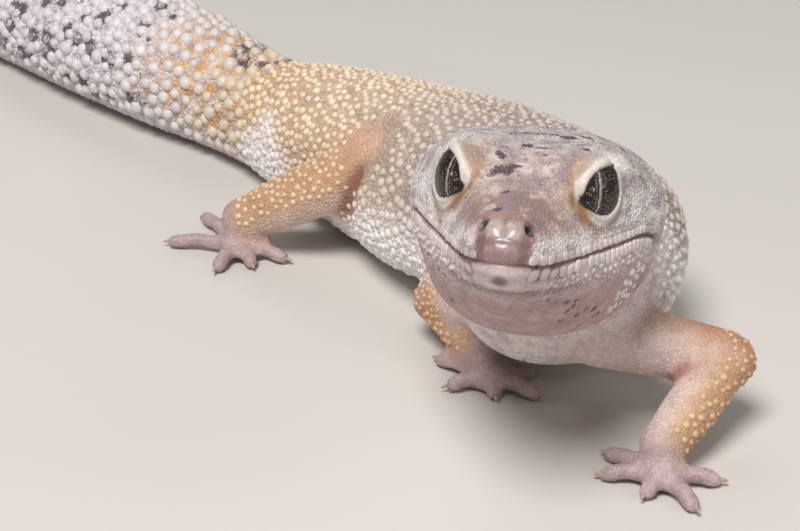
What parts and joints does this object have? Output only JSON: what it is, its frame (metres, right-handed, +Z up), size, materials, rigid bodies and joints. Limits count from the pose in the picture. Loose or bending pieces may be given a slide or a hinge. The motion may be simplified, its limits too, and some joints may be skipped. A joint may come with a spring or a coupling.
{
  "type": "leopard gecko",
  "caption": "Life-size still model of a leopard gecko in mid-step, head raised and turned to its right, one forearm reaching forward, belly and thick tail on the ground.",
  "frame": {"origin": "centre of the bounding box at floor level", "axes": "+Z up from the floor; -Y the way the trunk walks, so the tail lies towards +Y; +X towards the animal's left side"},
  "size_m": [0.0694, 0.1936, 0.0388],
  "materials": {
    "head_skin": "matt beaded scales, lavender grey with brown mottling",
    "jaw_skin": "matt fine granular scales, pinkish white",
    "trunk_skin": "matt, pinkish cream with round cream-yellow tubercles",
    "tail_skin": "matt, white with dark spots and large tubercles in rings",
    "leg_skin": "matt, orange tan with small cream tubercles",
    "foot_skin": "matt, soft lilac-pink",
    "eye": "wet gloss, dark brown",
    "claw": "satin, pale horn"
  },
  "bodies": {
    "root": {"eye_left": "eye", "eye_right": "eye", "foot_claw_1_left": "claw", "foot_claw_1_right": "claw", "foot_claw_2_left": "claw", "foot_claw_2_right": "claw", "foot_claw_3_left": "claw", "foot_claw_3_right": "claw", "foot_claw_4_left": "claw", "foot_claw_4_right": "claw", "foot_claw_5_left": "claw", "foot_claw_5_right": "claw", "foot_left": "foot_skin", "foot_right": "foot_skin", "forearm_left": "leg_skin", "forearm_right": "leg_skin", "hand_claw_1_left": "claw", "hand_claw_1_right": "claw", "hand_claw_2_left": "claw", "hand_claw_2_right": "claw", "hand_claw_3_left": "claw", "hand_claw_3_right": "claw", "hand_claw_4_left": "claw", "hand_claw_4_right": "claw", "hand_claw_5_left": "claw", "hand_claw_5_right": "claw", "hand_left": "foot_skin", "hand_right": "foot_skin", "head": "head_skin", "lower_jaw": "jaw_skin", "neck": "trunk_skin", "shank_left": "leg_skin", "shank_right": "leg_skin", "tail_base": "tail_skin", "tail_front": "tail_skin", "tail_middle": "tail_skin", "tail_tip": "tail_skin", "thigh_left": "leg_skin", "thigh_right": "leg_skin", "trunk_front": "trunk_skin", "trunk_middle": "trunk_skin", "trunk_rear": "trunk_skin", "upper_arm_left": "leg_skin", "upper_arm_right": "leg_skin"}
  },
  "joints": []
}
